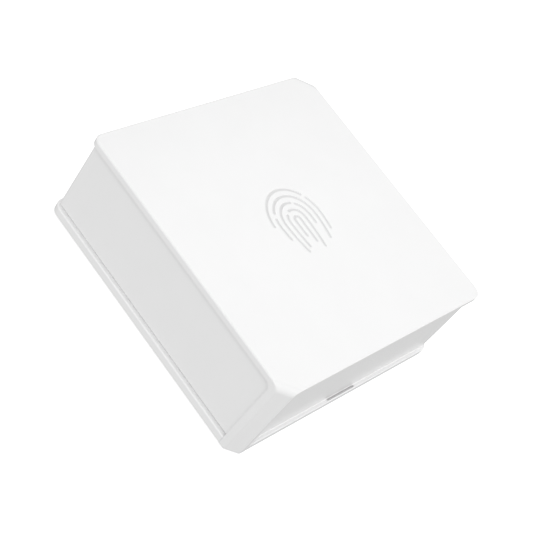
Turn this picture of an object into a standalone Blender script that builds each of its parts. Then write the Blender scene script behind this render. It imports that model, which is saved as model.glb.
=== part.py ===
"""Smart home hub: a square white desk-top box with a sunk waist, two chamfered corner columns and a touch sign.

Sizes are millimetres in the constants and metres in the scene. The hub lies on its feet, +Z up out of the
top plate, -Y the side with the status light, +Y the side with the sockets.
"""

import math

import bmesh
import bpy
from mathutils import Matrix, Vector

MM = 0.001

# Housing
HALF = 50.0
TOP_Z = 36.9
BASE_Z = 0.8
RIM_Z = 34.65
CEILING_Z = 34.9
PLATE_RADIUS = 3.5
FLANGE_RADIUS = 3.8
COLUMN_LEG = 4.0
FOLD_RADIUS = 2.5
COLUMN_REACH = 6.25
COLUMN_WALL = 3.6
WINDOW_RADIUS = 2.5
LEDGE_Z = 4.0
FLANGE_ROUND = 0.7
FLOOR_Z = 2.6
WAIST_HALF = 48.7
WAIST_RADIUS = 1.2
WAIST_WALL = 2.0
WAIST_TOP_Z = 34.35
FOOT_FILLET = 0.4
SEAM = 0.45
GAP = 0.3
CORNER_STEPS = 8

# Touch sign on the top plate
SIGN_CENTRE = (0.3, -0.2)
SIGN_PITCH = 2.4
SIGN_FIRST = 1.2
SIGN_STRETCH = 1.12
GROOVE_WIDTH = 0.7
GROOVE_DEPTH = 0.45
# Each arch: radius in pitches, foot of its left leg, foot of its right leg, and the gaps in its run
SIGN_ARCHES = (
    (0, -6.2, -9.0, ()),
    (1, -9.8, -11.6, ((-3.0, -1.2),)),
    (2, -11.4, -3.0, ((1.9, 3.4),)),
    (3, -5.4, -9.6, ((-10.6, -8.6),)),
    (4, 0.6, -6.6, ((9.4, 11.2),)),
)

# Status light slot in the front ledge
SLOT_X = 1.3
SLOT_LENGTH = 14.0
SLOT_OUT = -49.6
SLOT_IN = -48.85
SLOT_FLOOR = 2.5
GUIDE_TOP = 3.6

# Fasteners and feet
SCREW_X = 39.0
SCREW_Y = 26.0
BOSS_RADIUS = 3.2
BOSS_Z = 4.6
PILOT_RADIUS = 1.3
SHANK_RADIUS = 1.1
HEAD_RADIUS = 2.5
FOOT_AT = 38.5
FOOT_RADIUS = 4.6
POST_X = 29.0
POST_Y = 34.0
POST_RADIUS = 2.6

# Main board and what stands on it
BOARD_X = 34.5
BOARD_FRONT = -44.0
BOARD_BACK = 44.4
BOARD_Z = 7.0
BOARD_TOP = 8.6
ON_BOARD = 8.9
JACK_X = -3.0
JACK_SIZE = (16.0, 21.2, 13.4)
INLET_X = 21.0
INLET_SIZE = (8.94, 7.4, 3.26)
RESET_X = -23.0
RESET_Z = 12.6
RESET_RADIUS = 2.0
RESET_TRAVEL = 0.6

WHITE = (0.86, 0.86, 0.85)
MILK = (0.80, 0.82, 0.84)
GREY_RUBBER = (0.24, 0.24, 0.25)
BOARD_GREEN = (0.03, 0.16, 0.09)
STEEL = (0.62, 0.62, 0.61)
BRASS = (0.80, 0.62, 0.26)
BLACK = (0.03, 0.03, 0.03)
ALUMINIUM = (0.75, 0.76, 0.77)
AMBER = (0.62, 0.36, 0.10)
PAD_GREY = (0.42, 0.45, 0.50)


def clear_scene():
    for obj in list(bpy.data.objects):
        bpy.data.objects.remove(obj, do_unlink=True)


def material(name, colour, roughness, metallic=0.0):
    mat = bpy.data.materials.new(name)
    mat.use_nodes = True
    shader = mat.node_tree.nodes["Principled BSDF"]
    shader.inputs["Base Color"].default_value = (*colour, 1.0)
    shader.inputs["Roughness"].default_value = roughness
    shader.inputs["Metallic"].default_value = metallic
    mat.diffuse_color = (*colour, 1.0)
    return mat


def object_from(name, bm, look=None, origin=(0.0, 0.0, 0.0), smooth=False):
    """One object from a bmesh in millimetres. Its origin goes to the given point."""
    bmesh.ops.recalc_face_normals(bm, faces=bm.faces)
    shift = Matrix.Translation(-Vector(origin))
    bmesh.ops.transform(bm, matrix=Matrix.Scale(MM, 4) @ shift, verts=bm.verts)
    mesh = bpy.data.meshes.new(name)
    bm.to_mesh(mesh)
    bm.free()
    obj = bpy.data.objects.new(name, mesh)
    obj.location = Vector(origin) * MM
    bpy.context.scene.collection.objects.link(obj)
    if look is not None:
        mesh.materials.append(material(name, *look))
    if smooth:
        mesh.shade_smooth()
        mesh.set_sharp_from_angle(angle=math.radians(30))
    return obj


def plan_outline(half, radius, leg, steps=CORNER_STEPS):
    """Counter-clockwise square plan: chamfers at (-,-) and (+,+), rounds at (+,-) and (-,+)."""
    points = [(-half, -half + leg), (-half + leg, -half)]
    for step in range(steps + 1):
        turn = math.radians(-90 + 90 * step / steps)
        points.append((half - radius + radius * math.cos(turn), -half + radius + radius * math.sin(turn)))
    points += [(half, half - leg), (half - leg, half)]
    for step in range(steps + 1):
        turn = math.radians(90 + 90 * step / steps)
        points.append((-half + radius + radius * math.cos(turn), half - radius + radius * math.sin(turn)))
    return points


def circle(x, y, radius, steps):
    return [
        (x + radius * math.cos(2 * math.pi * i / steps), y + radius * math.sin(2 * math.pi * i / steps))
        for i in range(steps)
    ]


def box_outline(x0, x1, y0, y1):
    return [(x0, y0), (x1, y0), (x1, y1), (x0, y1)]


def stack(rings, closed=False, axis="Z"):
    """A solid through rings of (height, outline); open stacks get an end face at each end."""
    bm = bmesh.new()
    rows = []
    for height, outline in rings:
        row = []
        for a, b in outline:
            place = {"Z": (a, b, height), "Y": (a, height, b), "X": (height, a, b)}[axis]
            row.append(bm.verts.new(place))
        rows.append(row)
    pairs = list(zip(rows, rows[1:]))
    if closed:
        pairs.append((rows[-1], rows[0]))
    else:
        bm.faces.new(rows[0])
        bm.faces.new(rows[-1])
    count = len(rows[0])
    for low, high in pairs:
        for i in range(count):
            bm.faces.new((low[i], low[(i + 1) % count], high[(i + 1) % count], high[i]))
    return bm


def prism(outline, low, high, axis="Z"):
    return stack([(low, outline), (high, outline)], axis=axis)


def helper(bm):
    """A hidden body that is only cut away from, or joined to, a visible one."""
    obj = object_from("tool_body", bm)
    obj.hide_render = True
    obj.hide_set(True)
    obj.display_type = "WIRE"
    return obj


def combine(target, bm, operation):
    step = target.modifiers.new(operation.lower(), "BOOLEAN")
    step.operation = operation
    step.solver = "EXACT"
    step.object = helper(bm)


def cut(target, bm):
    combine(target, bm, "DIFFERENCE")


def join(target, bm):
    combine(target, bm, "UNION")


def bake(obj):
    """Turns the modifiers into the mesh itself, and drops the helpers they used."""
    bpy.context.view_layer.update()
    graph = bpy.context.evaluated_depsgraph_get()
    mesh = bpy.data.meshes.new_from_object(obj.evaluated_get(graph))
    used = [step.object for step in obj.modifiers if step.type == "BOOLEAN"]
    obj.modifiers.clear()
    old = obj.data
    obj.data = mesh
    mesh.name = obj.name
    bpy.data.meshes.remove(old)
    for other in used:
        bpy.data.objects.remove(other, do_unlink=True)
    return obj


def fold_leg(depth):
    """How far the chamfer eats into each side at this depth below the top face."""
    rise = max(FOLD_RADIUS - depth, 0.0)
    inset = FOLD_RADIUS - math.sqrt(FOLD_RADIUS**2 - rise**2)
    return COLUMN_LEG + math.sqrt(2) * inset


def ribbon(points, width):
    """The outline of a stroke of this width along a run of points."""
    left = []
    right = []
    for i, (x, y) in enumerate(points):
        x0, y0 = points[max(i - 1, 0)]
        x1, y1 = points[min(i + 1, len(points) - 1)]
        long = math.hypot(x1 - x0, y1 - y0)
        nx = -(y1 - y0) / long * width / 2
        ny = (x1 - x0) / long * width / 2
        left.append((x + nx, y + ny))
        right.append((x - nx, y - ny))
    return left + right[::-1]


def arch_runs(rank, left_foot, right_foot, gaps):
    """Strokes of one arch. Its run is measured along the arch from the crown, left negative."""
    radius = SIGN_FIRST + SIGN_PITCH * rank
    samples = []
    left = radius * math.pi / 2 - left_foot
    right = radius * math.pi / 2 - right_foot
    count = int((left + right) / 1.1)
    for i in range(count + 1):
        run = -left + (left + right) * i / count
        if any(low < run < high for low, high in gaps):
            samples.append(None)
            continue
        over = abs(run) - radius * math.pi / 2
        side = -1 if run < 0 else 1
        if over > 0:
            x = side * radius * (1 - 0.0016 * over * over)
            y = -over
        else:
            x = radius * math.sin(run / radius)
            y = radius * SIGN_STRETCH * math.cos(run / radius)
        samples.append((SIGN_CENTRE[0] + x, SIGN_CENTRE[1] + y))
    runs = [[]]
    for point in samples:
        if point is None:
            if runs[-1]:
                runs.append([])
        else:
            runs[-1].append(point)
    return [run for run in runs if len(run) > 2]


def build_top_shell():
    inner_half = HALF - COLUMN_WALL
    depths = (0.0, 0.35, 0.9, 1.6, FOLD_RADIUS)
    rings = [(TOP_Z, plan_outline(HALF - 0.3, PLATE_RADIUS - 0.3, fold_leg(0.0) - 0.3))]
    for depth in depths[1:]:
        rings.append((TOP_Z - depth, plan_outline(HALF, PLATE_RADIUS, fold_leg(depth))))
    rings.append((BASE_Z, plan_outline(HALF, PLATE_RADIUS, COLUMN_LEG)))
    hollow = plan_outline(inner_half, 1.0, 4.0)
    rings += [(BASE_Z, hollow), (CEILING_Z, hollow)]
    top = object_from("top_shell", stack(rings), (WHITE, 0.42))
    edge = HALF - COLUMN_REACH
    near = HALF - COLUMN_WALL - 1.5
    far = HALF + 5
    bend = []
    for step in range(7):
        turn = math.radians(90 * step / 6)
        bend.append((
            -edge + WINDOW_RADIUS - WINDOW_RADIUS * math.cos(turn),
            RIM_Z - WINDOW_RADIUS + WINDOW_RADIUS * math.sin(turn),
        ))
    window = [(-edge, -5.0), *bend, (far, RIM_Z), (far, -5.0)]
    mirrored = [(-a, b) for a, b in window]
    for axis in ("X", "Y"):
        cut(top, prism(window, -far, -near, axis=axis))
        cut(top, prism(mirrored, near, far, axis=axis))
    for x in (-SCREW_X, SCREW_X):
        for y in (-SCREW_Y, SCREW_Y):
            outer = circle(x, y, BOSS_RADIUS, 20)
            pilot = circle(x, y, PILOT_RADIUS, 20)
            join(top, prism(outer, BOSS_Z, CEILING_Z + 0.6))
            cut(top, prism(pilot, BOSS_Z - 1, 18.0))
    for x in (-13.0, 13.0):
        join(top, prism(circle(x, 20.0, 2.4, 16), 31.9, CEILING_Z + 0.6))
        cut(top, prism(circle(x, 20.0, 0.9, 12), 31.0, 34.6))
    for arch in SIGN_ARCHES:
        for run in arch_runs(*arch):
            cut(top, prism(ribbon(run, GROOVE_WIDTH), TOP_Z - GROOVE_DEPTH, TOP_Z + 1))
    return bake(top)


def gusset_clearance():
    """The room that the rounded upper corner of a window needs in the wall behind it."""
    edge = HALF - COLUMN_REACH
    centre = (-edge + WINDOW_RADIUS, RIM_Z - WINDOW_RADIUS)
    reach = WINDOW_RADIUS - GAP
    arc = []
    for step in range(7):
        turn = math.radians(90 * step / 6)
        arc.append((centre[0] - reach * math.cos(turn), centre[1] + reach * math.sin(turn)))
    return [(-edge - 1, centre[1]), *arc, (centre[0], RIM_Z + 1), (-edge - 1, RIM_Z + 1)]


def build_base_shell():
    inner = WAIST_HALF - WAIST_WALL
    notch = HALF - COLUMN_REACH - GAP
    rings = [(BASE_Z, plan_outline(HALF - 0.3, FLANGE_RADIUS - 0.3, 1.0))]
    rings.append((BASE_Z + 0.3, plan_outline(HALF, FLANGE_RADIUS, 1.0)))
    for step in range(4):
        turn = math.radians(30 * step)
        inset = FLANGE_ROUND * (1 - math.cos(turn))
        height = LEDGE_Z - FLANGE_ROUND * (1 - math.sin(turn))
        rings.append((height, plan_outline(HALF - inset, FLANGE_RADIUS - inset, 1.0)))
    rings += [(LEDGE_Z, plan_outline(inner, 0.6, 1.0)), (FLOOR_Z, plan_outline(inner, 0.6, 1.0))]
    base = object_from("base_shell", stack(rings), (WHITE, 0.45))

    def wall_outline(flare):
        reach = WAIST_HALF - WAIST_RADIUS
        arc = []
        for step in range(CORNER_STEPS + 1):
            turn = math.radians(-90 + 90 * step / CORNER_STEPS)
            arc.append((
                reach + (WAIST_RADIUS + flare) * math.cos(turn),
                -reach + (WAIST_RADIUS + flare) * math.sin(turn),
            ))
        out = WAIST_HALF + flare
        return [(-notch, -out), *arc, (out, notch), (inner, notch), (inner, -inner), (-notch, -inner)]

    wall = []
    for rise in (-0.4, 0.0, 0.1, 0.2, FOOT_FILLET):
        drop = FOOT_FILLET - max(rise, 0.0)
        flare = FOOT_FILLET - math.sqrt(FOOT_FILLET**2 - drop**2)
        wall.append((LEDGE_Z + rise, wall_outline(flare if rise >= 0 else FOOT_FILLET)))
    wall.append((WAIST_TOP_Z, wall_outline(0.0)))
    join(base, stack(wall))
    corner = gusset_clearance()
    cut(base, prism(corner, -60.0, -40.0, axis="Y"))
    cut(base, prism([(-a, b) for a, b in corner], 40.0, 60.0, axis="X"))
    for x in (-POST_X, POST_X):
        for y in (-POST_Y, POST_Y):
            join(base, prism(circle(x, y, POST_RADIUS, 16), FLOOR_Z - 0.6, BOARD_Z - GAP))
            cut(base, prism(circle(x, y, 1.0, 12), FLOOR_Z - 0.2, BOARD_Z + 1))
    for x in (-SCREW_X, SCREW_X):
        for y in (-SCREW_Y, SCREW_Y):
            join(base, prism(circle(x, y, 4.4, 20), FLOOR_Z - 0.6, BOSS_Z - GAP))
            cut(base, prism(circle(x, y, HEAD_RADIUS + 0.3, 20), BASE_Z - 1, 2.5))
            cut(base, prism(circle(x, y, 1.5, 16), 2.0, BOSS_Z + 1))
    for x in (-FOOT_AT, FOOT_AT):
        for y in (-FOOT_AT, FOOT_AT):
            cut(base, prism(circle(x, y, FOOT_RADIUS + 0.3, 28), BASE_Z - 1, BASE_Z + 0.6))
    for side in (-1, 1):
        low = -80.0 if side < 0 else notch
        high = -notch if side < 0 else 80.0
        cut(base, prism(box_outline(low, high, low, high), -5.0, 60.0))
    left = SLOT_X - SLOT_LENGTH / 2
    right = SLOT_X + SLOT_LENGTH / 2
    slot = []
    for end, centre in ((1, right), (-1, left)):
        for step in range(5):
            turn = math.radians(-90 + 45 * step)
            half = (SLOT_IN - SLOT_OUT) / 2
            slot.append((
                centre - end * half + end * half * math.cos(turn),
                (SLOT_IN + SLOT_OUT) / 2 + end * half * math.sin(turn),
            ))
    cut(base, prism(slot, SLOT_FLOOR, LEDGE_Z + 1))
    cut(base, prism(box_outline(left + 0.4, right - 0.4, SLOT_OUT + 0.1, -inner + 1), SLOT_FLOOR, 3.5))
    for column in range(-4, 5):
        x = column * 5.0
        vent = circle(x, -9.0, 0.8, 12)
        vent = [(px, py if py < -9.0 + 1e-6 else py + 18.0) for px, py in vent]
        cut(base, prism(vent, BASE_Z - 1, FLOOR_Z + 1))
    return bake(base)


def build_port_band():
    """The left and back walls in one piece, round the corner (-X, +Y), with the socket openings."""
    notch = HALF - COLUMN_REACH - GAP
    inner = WAIST_HALF - WAIST_WALL
    reach = WAIST_HALF - WAIST_RADIUS

    def outline(shrink):
        arc = []
        for step in range(CORNER_STEPS + 1):
            turn = math.radians(180 - 90 * step / CORNER_STEPS)
            arc.append((
                -reach + (WAIST_RADIUS - shrink) * math.cos(turn),
                reach + (WAIST_RADIUS - shrink) * math.sin(turn),
            ))
        out = WAIST_HALF - shrink
        return [(-out, -notch), *arc, (notch, out), (notch, inner), (-inner, inner), (-inner, -notch)]

    foot = LEDGE_Z + SEAM
    rings = [(foot, outline(0.25)), (foot + 0.25, outline(0.0)), (WAIST_TOP_Z, outline(0.0))]
    band = object_from("port_band", stack(rings), (WHITE, 0.44))
    corner = gusset_clearance()
    cut(band, prism(corner, -60.0, -40.0, axis="X"))
    cut(band, prism([(-a, b) for a, b in corner], 40.0, 60.0, axis="Y"))
    width, _, height = JACK_SIZE
    low = inner - 2
    high = WAIST_HALF + 2
    opening = box_outline(JACK_X - width / 2 - 0.3, JACK_X + width / 2 + 0.3, ON_BOARD - 0.3, ON_BOARD + height + 0.3)
    cut(band, prism(opening, low, high, axis="Y"))
    cut(band, prism(stadium(INLET_X, ON_BOARD + INLET_SIZE[2] / 2, INLET_SIZE[0] + 0.8, INLET_SIZE[2] + 0.8), low, high, axis="Y"))
    cut(band, prism(circle(RESET_X, RESET_Z, RESET_RADIUS + 0.3, 24), low, high, axis="Y"))
    return bake(band)


def stadium(x, z, width, height, steps=6):
    """Outline with half-round ends, as on a small oval socket."""
    radius = height / 2
    points = []
    for end in (1, -1):
        for step in range(steps + 1):
            turn = math.radians(-90 + 180 * step / steps)
            points.append((
                x + end * (width / 2 - radius) + end * radius * math.cos(turn),
                z + end * radius * math.sin(turn),
            ))
    return points


def build_feet():
    for i, (sx, sy) in enumerate(((-1, -1), (1, -1), (1, 1), (-1, 1))):
        x = sx * FOOT_AT
        y = sy * FOOT_AT
        rings = [
            (0.0, circle(x, y, FOOT_RADIUS - 0.25, 28)),
            (0.25, circle(x, y, FOOT_RADIUS, 28)),
            (BASE_Z + 0.3, circle(x, y, FOOT_RADIUS, 28)),
        ]
        object_from(f"foot_pad_{i + 1}", stack(rings), (GREY_RUBBER, 0.8), origin=(x, y, 0.0), smooth=True)


def cross_recess(obj, x, y, low, high, size):
    for wide, tall in ((size, size * 0.28), (size * 0.28, size)):
        cut(obj, prism(box_outline(x - wide, x + wide, y - tall, y + tall), low, high))


def build_case_screws():
    for i, (sx, sy) in enumerate(((-1, -1), (1, -1), (1, 1), (-1, 1))):
        x = sx * SCREW_X
        y = sy * SCREW_Y
        rings = [
            (1.05, circle(x, y, HEAD_RADIUS - 0.35, 20)),
            (1.3, circle(x, y, HEAD_RADIUS, 20)),
            (2.35, circle(x, y, HEAD_RADIUS, 20)),
            (2.35, circle(x, y, SHANK_RADIUS, 20)),
            (14.2, circle(x, y, SHANK_RADIUS, 20)),
            (15.0, circle(x, y, SHANK_RADIUS * 0.4, 20)),
        ]
        screw = object_from(f"case_screw_{i + 1}", stack(rings), (STEEL, 0.35, 1.0), origin=(x, y, 1.05))
        cross_recess(screw, x, y, 0.0, 1.85, 1.3)
        bake(screw)


def build_status_light():
    left = SLOT_X - SLOT_LENGTH / 2 + 0.55
    right = SLOT_X + SLOT_LENGTH / 2 - 0.55
    run = [
        (SLOT_OUT + 0.15, 2.62), (-41.5, 2.9), (-41.5, 5.7), (-43.3, 5.7), (-43.3, 3.4),
        (SLOT_IN - 0.1, 3.4), (SLOT_IN - 0.1, GUIDE_TOP), (SLOT_OUT + 0.15, GUIDE_TOP),
    ]
    run[1:2] = [(-46.0, 2.62), (-46.0, 2.9), (-41.5, 2.9)]
    object_from("status_light_guide", prism(run, left, right, axis="X"), (MILK, 0.3))
    led = box_outline(SLOT_X - 1.6, SLOT_X + 1.6, -43.2, -41.6)
    object_from("status_led", prism(led, 5.95, BOARD_Z - 0.05), (WHITE, 0.3))


def build_board():
    outline = box_outline(-BOARD_X, BOARD_X, BOARD_FRONT, BOARD_BACK)
    board = object_from("main_board", prism(outline, BOARD_Z, BOARD_TOP), (BOARD_GREEN, 0.4))
    for x in (-POST_X, POST_X):
        for y in (-POST_Y, POST_Y):
            cut(board, prism(circle(x, y, 1.4, 16), BOARD_Z - 1, BOARD_TOP + 1))
    bake(board)
    for i, (sx, sy) in enumerate(((-1, -1), (1, -1), (1, 1), (-1, 1))):
        x = sx * POST_X
        y = sy * POST_Y
        rings = [
            (3.4, circle(x, y, 0.3, 16)),
            (3.8, circle(x, y, 0.8, 16)),
            (ON_BOARD - 0.2, circle(x, y, 0.8, 16)),
            (ON_BOARD - 0.2, circle(x, y, 2.2, 16)),
            (ON_BOARD + 0.8, circle(x, y, 2.2, 16)),
            (ON_BOARD + 1.1, circle(x, y, 1.8, 16)),
        ]
        screw = object_from(f"board_screw_{i + 1}", stack(rings), (STEEL, 0.35, 1.0), origin=(x, y, ON_BOARD))
        cross_recess(screw, x, y, ON_BOARD + 0.5, ON_BOARD + 2, 1.1)
        bake(screw)


def lid(name, x, y, wide, deep, low, high, wall, look):
    """A shield can: a box open at the bottom."""
    outer = box_outline(x - wide / 2, x + wide / 2, y - deep / 2, y + deep / 2)
    inner = box_outline(x - wide / 2 + wall, x + wide / 2 - wall, y - deep / 2 + wall, y + deep / 2 - wall)
    small = box_outline(x - wide / 2 + 0.4, x + wide / 2 - 0.4, y - deep / 2 + 0.4, y + deep / 2 - 0.4)
    rings = [(high, small), (high - 0.4, outer), (low, outer), (low, inner), (high - wall, inner)]
    return object_from(name, stack(rings), look)


def block(name, x, y, wide, deep, low, high, look, bevel=0.2):
    outer = box_outline(x - wide / 2, x + wide / 2, y - deep / 2, y + deep / 2)
    small = box_outline(
        x - wide / 2 + bevel, x + wide / 2 - bevel, y - deep / 2 + bevel, y + deep / 2 - bevel
    )
    return object_from(name, stack([(low, outer), (high - bevel, outer), (high, small)]), look)


def build_electronics():
    metal = (STEEL, 0.3, 1.0)
    block("processor", 6.0, -6.0, 13.0, 13.0, ON_BOARD, 10.1, (BLACK, 0.5))
    lid("processor_shield", 6.0, -6.0, 24.0, 24.0, ON_BOARD, 11.6, 0.25, metal)
    block("thermal_pad", 6.0, -6.0, 18.0, 18.0, 11.7, 12.6, (PAD_GREY, 0.9))
    lid("radio_shield", -22.6, -17.0, 16.0, 14.0, ON_BOARD, 11.2, 0.25, metal)
    block("radio_chip", -22.6, -17.0, 7.0, 7.0, ON_BOARD, 9.9, (BLACK, 0.5))
    block("memory_chip_1", 8.0, 13.5, 11.0, 8.0, ON_BOARD, 9.9, (BLACK, 0.5))
    block("memory_chip_2", -9.5, 15.0, 9.0, 12.0, ON_BOARD, 9.9, (BLACK, 0.5))
    block("power_coil", 26.5, 21.5, 6.0, 6.0, ON_BOARD, 12.1, (PAD_GREY, 0.6), 0.8)
    for i, y in enumerate((4.5, 12.0)):
        rings = [
            (ON_BOARD, circle(27.0, y, 3.1, 20)),
            (14.2, circle(27.0, y, 3.1, 20)),
            (14.6, circle(27.0, y, 2.6, 20)),
        ]
        object_from(f"power_capacitor_{i + 1}", stack(rings), (ALUMINIUM, 0.35, 1.0), origin=(27.0, y, ON_BOARD), smooth=True)
    spreader = object_from(
        "heat_spreader", prism(box_outline(-14.0, 22.0, -24.0, 8.0), 12.75, 14.35), (ALUMINIUM, 0.4, 1.0)
    )
    for x, y in ((-12.5, -22.5), (20.5, -22.5), (20.5, 6.5), (-12.5, 6.5)):
        join(spreader, prism(box_outline(x - 1.2, x + 1.2, y - 1.2, y + 1.2), ON_BOARD, 13.3))
    for fin in range(7):
        y = -20.6 + fin * 4.2
        join(spreader, prism(box_outline(-12.6, 20.6, y, y + 0.9), 14.0, 19.5))
    bake(spreader)


def antenna(name, x, y, long, tall, turned):
    """A stamped sheet-metal strip that stands on two short legs."""
    thick = 0.5
    foot = ON_BOARD
    points = [
        (0.0, foot), (1.6, foot), (1.6, foot + 3.0), (4.6, foot + 3.0), (4.6, foot), (6.2, foot),
        (6.2, foot + 3.0), (long, foot + 3.0), (long, foot + tall), (0.0, foot + tall),
    ]
    shape = [((y if turned else x) + a, b) for a, b in points]
    base = x if turned else y
    object_from(name, prism(shape, base, base + thick, axis="X" if turned else "Y"), (BRASS, 0.35, 1.0))


def build_antennas():
    antenna("wifi_antenna_1", -33.6, -11.0, 24.0, 7.5, True)
    antenna("wifi_antenna_2", 33.1, -27.0, 24.0, 7.5, True)
    antenna("mesh_antenna", -24.0, -41.5, 19.0, 8.5, False)


def build_ethernet_jack():
    width, deep, height = JACK_SIZE
    x0 = JACK_X - width / 2
    x1 = JACK_X + width / 2
    front = WAIST_HALF - 0.1
    back = front - deep
    low = ON_BOARD
    high = ON_BOARD + height
    shell = object_from(
        "ethernet_shell", prism(box_outline(x0, x1, low, high), back, front, axis="Y"), (STEEL, 0.3, 1.0)
    )
    cut(shell, prism(box_outline(x0 + 0.35, x1 - 0.35, low + 0.35, high - 0.35), back + 0.35, front - 0.35, axis="Y"))
    mouth = mouth_outline(0.0)
    cut(shell, prism(mouth, front - 1.0, front + 1, axis="Y"))
    bake(shell)
    core = object_from(
        "ethernet_core",
        prism(box_outline(x0 + 0.6, x1 - 0.6, low + 0.6, high - 0.6), back + 0.6, front - 0.6, axis="Y"),
        (BLACK, 0.5),
    )
    cut(core, prism(mouth_outline(0.0), front - 13.0, front + 1, axis="Y"))
    bake(core)


def mouth_outline(grow):
    """Front opening of the network socket: the plug's section with its latch step."""
    wide = 11.8 / 2 + grow
    mid = ON_BOARD + 6.0
    low = mid - 4.2
    high = mid + 2.6 + grow
    return [
        (JACK_X - wide, low), (JACK_X + wide, low), (JACK_X + wide, high), (JACK_X + 3.1, high),
        (JACK_X + 3.1, high + 1.6), (JACK_X + 1.7, high + 1.6), (JACK_X + 1.7, high + 3.0),
        (JACK_X - 1.7, high + 3.0), (JACK_X - 1.7, high + 1.6), (JACK_X - 3.1, high + 1.6),
        (JACK_X - 3.1, high), (JACK_X - wide, high),
    ]


def build_power_inlet():
    wide, deep, tall = INLET_SIZE
    z = ON_BOARD + tall / 2
    front = WAIST_HALF - 0.1
    back = front - deep
    outer = stadium(INLET_X, z, wide, tall)
    inner = stadium(INLET_X, z, wide - 0.6, tall - 0.6)
    rings = [(back, outer), (front, outer), (front, inner), (back + 0.9, inner)]
    object_from("power_inlet_shell", stack(rings, axis="Y"), (STEEL, 0.3, 1.0))
    tongue = box_outline(INLET_X - 3.3, INLET_X + 3.3, z - 0.35, z + 0.35)
    object_from("power_inlet_tongue", prism(tongue, back + 1.2, front - 0.6, axis="Y"), (BLACK, 0.5))


def build_reset_button():
    front = WAIST_HALF + 0.3
    inner = WAIST_HALF - WAIST_WALL
    rings = [
        (front, circle(RESET_X, RESET_Z, RESET_RADIUS - 0.3, 24)),
        (front - 0.3, circle(RESET_X, RESET_Z, RESET_RADIUS, 24)),
        (inner - 0.4, circle(RESET_X, RESET_Z, RESET_RADIUS, 24)),
        (inner - 0.4, circle(RESET_X, RESET_Z, RESET_RADIUS + 1.0, 24)),
        (inner - 1.2, circle(RESET_X, RESET_Z, RESET_RADIUS + 1.0, 24)),
    ]
    object_from(
        "reset_cap", stack(rings, axis="Y"), (WHITE, 0.4), origin=(RESET_X, front, RESET_Z), smooth=True
    )
    tip = inner - 1.5
    rings = [
        (tip, circle(RESET_X, RESET_Z, 0.7, 16)),
        (tip - 0.3, circle(RESET_X, RESET_Z, 1.0, 16)),
        (tip - 4.2, circle(RESET_X, RESET_Z, 1.0, 16)),
    ]
    object_from(
        "reset_plunger", stack(rings, axis="Y"), (BLACK, 0.5), origin=(RESET_X, tip, RESET_Z), smooth=True
    )
    face = tip - 2.2
    body = object_from(
        "reset_switch",
        prism(box_outline(RESET_X - 3.0, RESET_X + 3.0, ON_BOARD, RESET_Z + 3.0), face - 4.0, face, axis="Y"),
        (BLACK, 0.5),
    )
    cut(body, prism(circle(RESET_X, RESET_Z, 1.3, 16), face - 2.9, face + 1, axis="Y"))
    bake(body)


def build_touch_sensor():
    object_from(
        "touch_film", prism(box_outline(-16.0, 16.0, -15.0, 15.0), 34.15, 34.55), (AMBER, 0.4)
    )
    block("touch_foam", 0.0, 0.0, 30.0, 28.0, 31.85, 33.95, (PAD_GREY, 0.95), 0.1)
    board = object_from(
        "touch_board", prism(box_outline(-17.0, 17.0, -16.0, 23.0), 30.0, 31.6), (BOARD_GREEN, 0.4)
    )
    for x in (-13.0, 13.0):
        cut(board, prism(circle(x, 20.0, 1.2, 14), 29.0, 33.0))
    bake(board)
    for i, x in enumerate((-13.0, 13.0)):
        rings = [
            (28.7, circle(x, 20.0, 1.6, 14)),
            (29.0, circle(x, 20.0, 1.9, 14)),
            (29.85, circle(x, 20.0, 1.9, 14)),
            (29.85, circle(x, 20.0, 0.7, 14)),
            (34.2, circle(x, 20.0, 0.7, 14)),
        ]
        screw = object_from(f"touch_screw_{i + 1}", stack(rings), (STEEL, 0.35, 1.0), origin=(x, 20.0, 28.7))
        cross_recess(screw, x, 20.0, 28.0, 29.3, 0.9)
        bake(screw)
    block("flex_socket", -8.0, -29.0, 12.0, 4.0, ON_BOARD, 11.4, (WHITE, 0.5))
    run = []
    for step in range(13):
        part = step / 12
        ease = part * part * (3 - 2 * part)
        run.append((-13.0 - 16.0 * ease - 3.0 * math.sin(math.pi * part), 29.6 - 17.8 * part))
    outline = ribbon(run, 0.35)
    object_from("touch_flex", prism(outline, -12.5, -3.5, axis="X"), (AMBER, 0.45), smooth=True)


def main():
    clear_scene()
    build_top_shell()
    build_base_shell()
    build_port_band()
    build_feet()
    build_case_screws()
    build_status_light()
    build_board()
    build_electronics()
    build_antennas()
    build_ethernet_jack()
    build_power_inlet()
    build_reset_button()
    build_touch_sensor()


main()
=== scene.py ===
"""Smart home hub: finished pieces, materials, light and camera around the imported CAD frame.

Lengths in the constants are millimetres; the scene itself is in metres, in the frame of the CAD.
"""

import math

import bmesh
import bpy
from mathutils import Matrix, Vector, geometry


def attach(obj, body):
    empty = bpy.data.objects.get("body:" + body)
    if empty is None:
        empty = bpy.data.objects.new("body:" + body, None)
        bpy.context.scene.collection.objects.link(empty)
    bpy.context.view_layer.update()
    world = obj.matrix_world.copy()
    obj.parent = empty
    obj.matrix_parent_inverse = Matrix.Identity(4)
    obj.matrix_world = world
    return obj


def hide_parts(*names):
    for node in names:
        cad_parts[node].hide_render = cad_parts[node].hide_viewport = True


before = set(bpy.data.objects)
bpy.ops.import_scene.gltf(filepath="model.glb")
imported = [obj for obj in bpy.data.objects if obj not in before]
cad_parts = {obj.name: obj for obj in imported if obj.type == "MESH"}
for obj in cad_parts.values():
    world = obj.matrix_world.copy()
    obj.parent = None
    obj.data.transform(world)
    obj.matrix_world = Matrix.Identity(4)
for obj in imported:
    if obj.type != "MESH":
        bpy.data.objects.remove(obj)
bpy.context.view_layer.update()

MM = 0.001
HOUSING = "housing"
BUTTON = "reset_button"

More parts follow.
